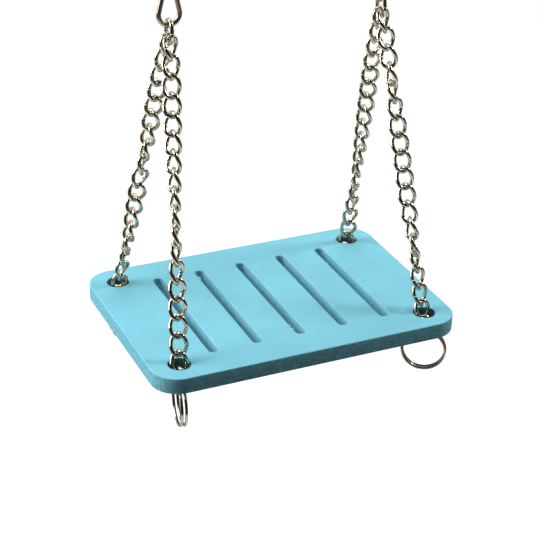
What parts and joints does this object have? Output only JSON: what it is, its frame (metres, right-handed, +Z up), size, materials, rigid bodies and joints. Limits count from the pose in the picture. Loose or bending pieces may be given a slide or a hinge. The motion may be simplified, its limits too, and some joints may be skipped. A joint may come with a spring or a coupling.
{
  "type": "bird swing",
  "caption": "Small flat perch swing: a slotted rounded board hung by chains that meet in pairs under swivel snap hooks, with split rings under its corners.",
  "frame": {"origin": "midway between the two hook seats, on the line through the centres of the two cage bars", "axes": "+X along the board's long side to the right, -Y to the front, +Z up"},
  "size_m": [0.1, 0.07, 0.149],
  "materials": {
    "board": "sky-blue foamed sheet, matte, rough sawn edges",
    "chain_metal": "nickel plated, bright",
    "ring_metal": "nickel plated, bright",
    "hook_metal": "nickel plated, slightly warm"
  },
  "bodies": {
    "hooks": {"left_hook": "hook_metal", "left_gate_rivet": "hook_metal", "left_gate_spring": "hook_metal", "right_hook": "hook_metal", "right_gate_rivet": "hook_metal", "right_gate_spring": "hook_metal"},
    "left_eye": {"left_eye": "hook_metal"},
    "right_eye": {"right_eye": "hook_metal"},
    "left_gate": {"left_gate": "hook_metal"},
    "right_gate": {"right_gate": "hook_metal"},
    "left_hanger": {"left_top_link": "chain_metal"},
    "right_hanger": {"right_top_link": "chain_metal"},
    "left_chains": {"front_left_chain": "chain_metal", "back_left_chain": "chain_metal"},
    "right_chains": {"front_right_chain": "chain_metal", "back_right_chain": "chain_metal"},
    "board": {"board": "board", "front_left_end_links": "chain_metal", "back_left_end_links": "chain_metal", "front_right_end_links": "chain_metal", "back_right_end_links": "chain_metal"},
    "front_left_ring": {"front_left_ring": "ring_metal"},
    "back_left_ring": {"back_left_ring": "ring_metal"},
    "front_right_ring": {"front_right_ring": "ring_metal"},
    "back_right_ring": {"back_right_ring": "ring_metal"}
  },
  "joints": [
    {"name": "left_swing", "type": "hinge", "parent": "hooks", "child": "left_hanger", "pos_m": [-0.0335, 0, -0.02998], "axis": [1, 0, 0], "range_deg": [-45, 45]},
    {"name": "left_sway", "type": "hinge", "parent": "left_hanger", "child": "left_chains", "pos_m": [-0.0335, 0, -0.0352], "axis": [0, 1, 0], "range_deg": [-10, 10]},
    {"name": "right_swing", "type": "hinge", "parent": "hooks", "child": "right_hanger", "pos_m": [0.0335, 0, -0.02998], "axis": [1, 0, 0], "range_deg": [-45, 45]},
    {"name": "right_sway", "type": "hinge", "parent": "right_hanger", "child": "right_chains", "pos_m": [0.0335, 0, -0.0352], "axis": [0, 1, 0], "range_deg": [-10, 10]},
    {"name": "board_level", "type": "hinge", "parent": "left_chains", "child": "board", "pos_m": [-0.04047, 0, -0.12087], "axis": [0, 1, 0], "range_deg": [-10, 10]},
    {"name": "left_swivel", "type": "hinge", "parent": "hooks", "child": "left_eye", "pos_m": [-0.0335, 0, -0.0177], "axis": [0, 0, 1], "range_deg": [-20, 20]},
    {"name": "left_gate_open", "type": "hinge", "parent": "hooks", "child": "left_gate", "pos_m": [-0.0377, 0, -0.0116], "axis": [0, 1, 0], "range_deg": [0, 28], "stiffness_Nm_per_rad": 0.01, "springref_deg": -17.19, "deforming": ["left_gate_spring"]},
    {"name": "right_swivel", "type": "hinge", "parent": "hooks", "child": "right_eye", "pos_m": [0.0335, 0, -0.0177], "axis": [0, 0, 1], "range_deg": [-20, 20]},
    {"name": "right_gate_open", "type": "hinge", "parent": "hooks", "child": "right_gate", "pos_m": [0.0377, 0, -0.0116], "axis": [0, -1, 0], "range_deg": [0, 28], "stiffness_Nm_per_rad": 0.01, "springref_deg": -17.19, "deforming": ["right_gate_spring"]},
    {"name": "front_left_ring_tilt", "type": "hinge", "parent": "board", "child": "front_left_ring", "pos_m": [-0.04118, -0.02767, -0.12973], "axis": [-0.1736, -0.9848, 0], "range_deg": [-45, 45]},
    {"name": "back_left_ring_tilt", "type": "hinge", "parent": "board", "child": "back_left_ring", "pos_m": [-0.04118, 0.02767, -0.12973], "axis": [-0.1045, 0.9945, 0], "range_deg": [-45, 45]},
    {"name": "front_right_ring_tilt", "type": "hinge", "parent": "board", "child": "front_right_ring", "pos_m": [0.04118, -0.02767, -0.12973], "axis": [-0.829, 0.5592, 0], "range_deg": [-45, 45]},
    {"name": "back_right_ring_tilt", "type": "hinge", "parent": "board", "child": "back_right_ring", "pos_m": [0.04118, 0.02767, -0.12973], "axis": [0.0349, -0.9994, 0], "range_deg": [-45, 45]}
  ],
  "couplings": [
    {"joint": "right_swing", "follows": "left_swing", "ratio": 1},
    {"joint": "right_sway", "follows": "left_sway", "ratio": 1},
    {"joint": "board_level", "follows": "left_sway", "ratio": -0.82767}
  ]
}
